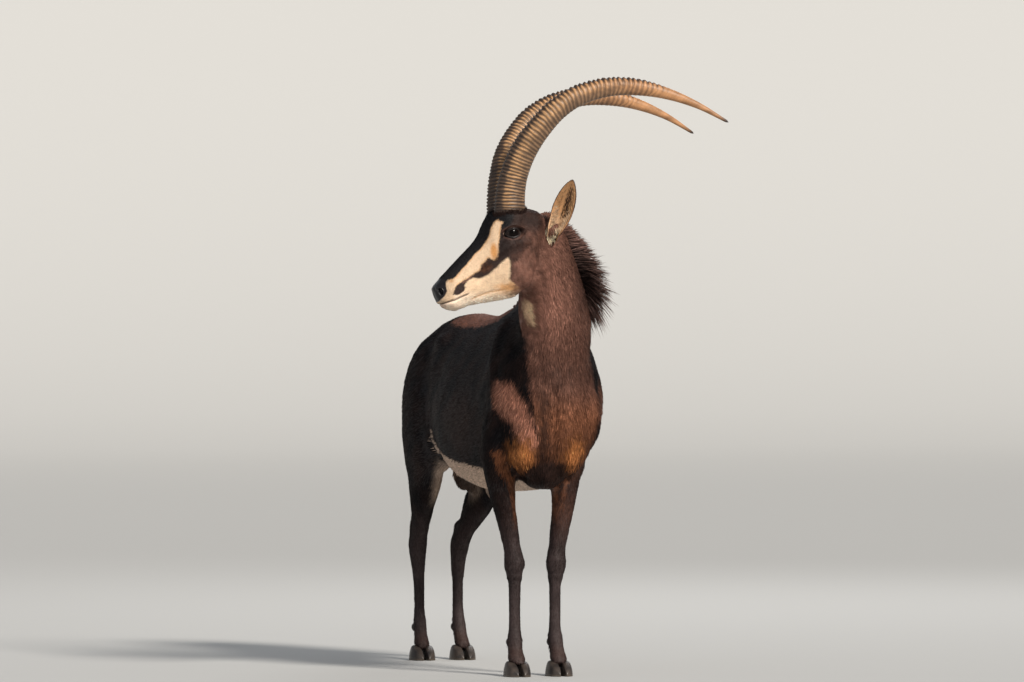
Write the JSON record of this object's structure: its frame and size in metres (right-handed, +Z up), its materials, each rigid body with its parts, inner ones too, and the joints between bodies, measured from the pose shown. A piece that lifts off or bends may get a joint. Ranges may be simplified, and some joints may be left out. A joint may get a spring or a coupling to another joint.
{
  "type": "sable antelope",
  "caption": "Life-size standing sable antelope bull with long ringed backswept horns, head turned to its right.",
  "frame": {"origin": "middle of the bounding box on the plane the hooves stand on", "axes": "+Z up, the body faces -Y, its left side is +X; the head is turned towards -X"},
  "size_m": [0.9796, 1.6912, 1.9986],
  "materials": {
    "coat": "short glossy dark brown hair over flesh",
    "horn": "ringed keratin, satin",
    "hoof": "dark keratin, satin",
    "eye": "wet, glossy, very dark brown",
    "mane": "stiff long dark hair"
  },
  "bodies": {
    "root": {"dewclaw_front_left_inner": "hoof", "dewclaw_front_left_outer": "hoof", "dewclaw_front_right_inner": "hoof", "dewclaw_front_right_outer": "hoof", "dewclaw_hind_left_inner": "hoof", "dewclaw_hind_left_outer": "hoof", "dewclaw_hind_right_inner": "hoof", "dewclaw_hind_right_outer": "hoof", "ear_left": "coat", "ear_right": "coat", "eye_left": "eye", "eye_right": "eye", "head": "coat", "hoof_front_left_inner": "hoof", "hoof_front_left_outer": "hoof", "hoof_front_right_inner": "hoof", "hoof_front_right_outer": "hoof", "hoof_hind_left_inner": "hoof", "hoof_hind_left_outer": "hoof", "hoof_hind_right_inner": "hoof", "hoof_hind_right_outer": "hoof", "horn_left": "horn", "horn_right": "horn", "leg_front_left": "coat", "leg_front_right": "coat", "leg_hind_left": "coat", "leg_hind_right": "coat", "mane": "mane", "neck": "coat", "tail": "coat", "tail_tuft": "mane", "trunk": "coat"}
  },
  "joints": []
}
